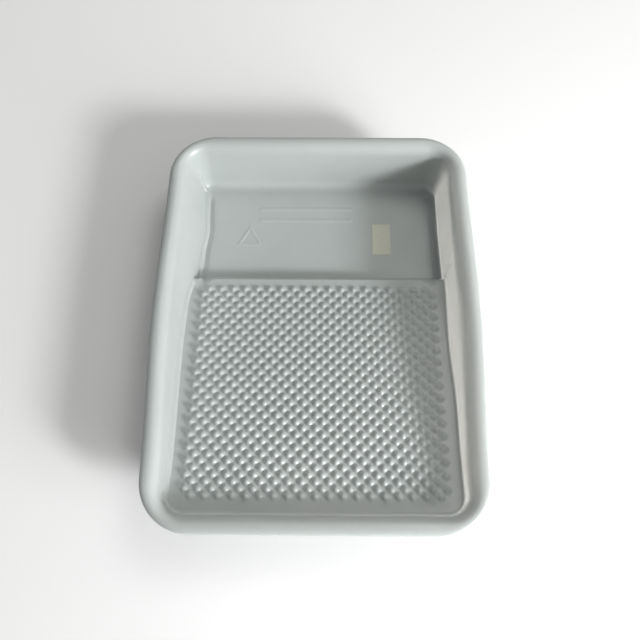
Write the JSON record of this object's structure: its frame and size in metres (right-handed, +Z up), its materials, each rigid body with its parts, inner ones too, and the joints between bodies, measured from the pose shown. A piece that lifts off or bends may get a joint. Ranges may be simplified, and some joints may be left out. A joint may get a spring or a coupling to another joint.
{
  "type": "paint roller tray",
  "caption": "Shallow plastic tray for a paint roller: a deep well at one end, a step, and a sloping studded ramp rising to the other end, inside a broad rounded rim",
  "frame": {"origin": "middle of the overall box in x and y, on the surface that the tray stands on", "axes": "+Z up, +Y from the shallow ramp end to the deep well end, +X to the right seen from the shallow end"},
  "size_m": [0.29, 0.3684, 0.0602],
  "materials": {
    "tray_plastic": "glossy, slightly translucent",
    "label_paper": "matt"
  },
  "bodies": {
    "root": {"tray_shell": "tray_plastic", "price_label": "label_paper"}
  },
  "joints": []
}
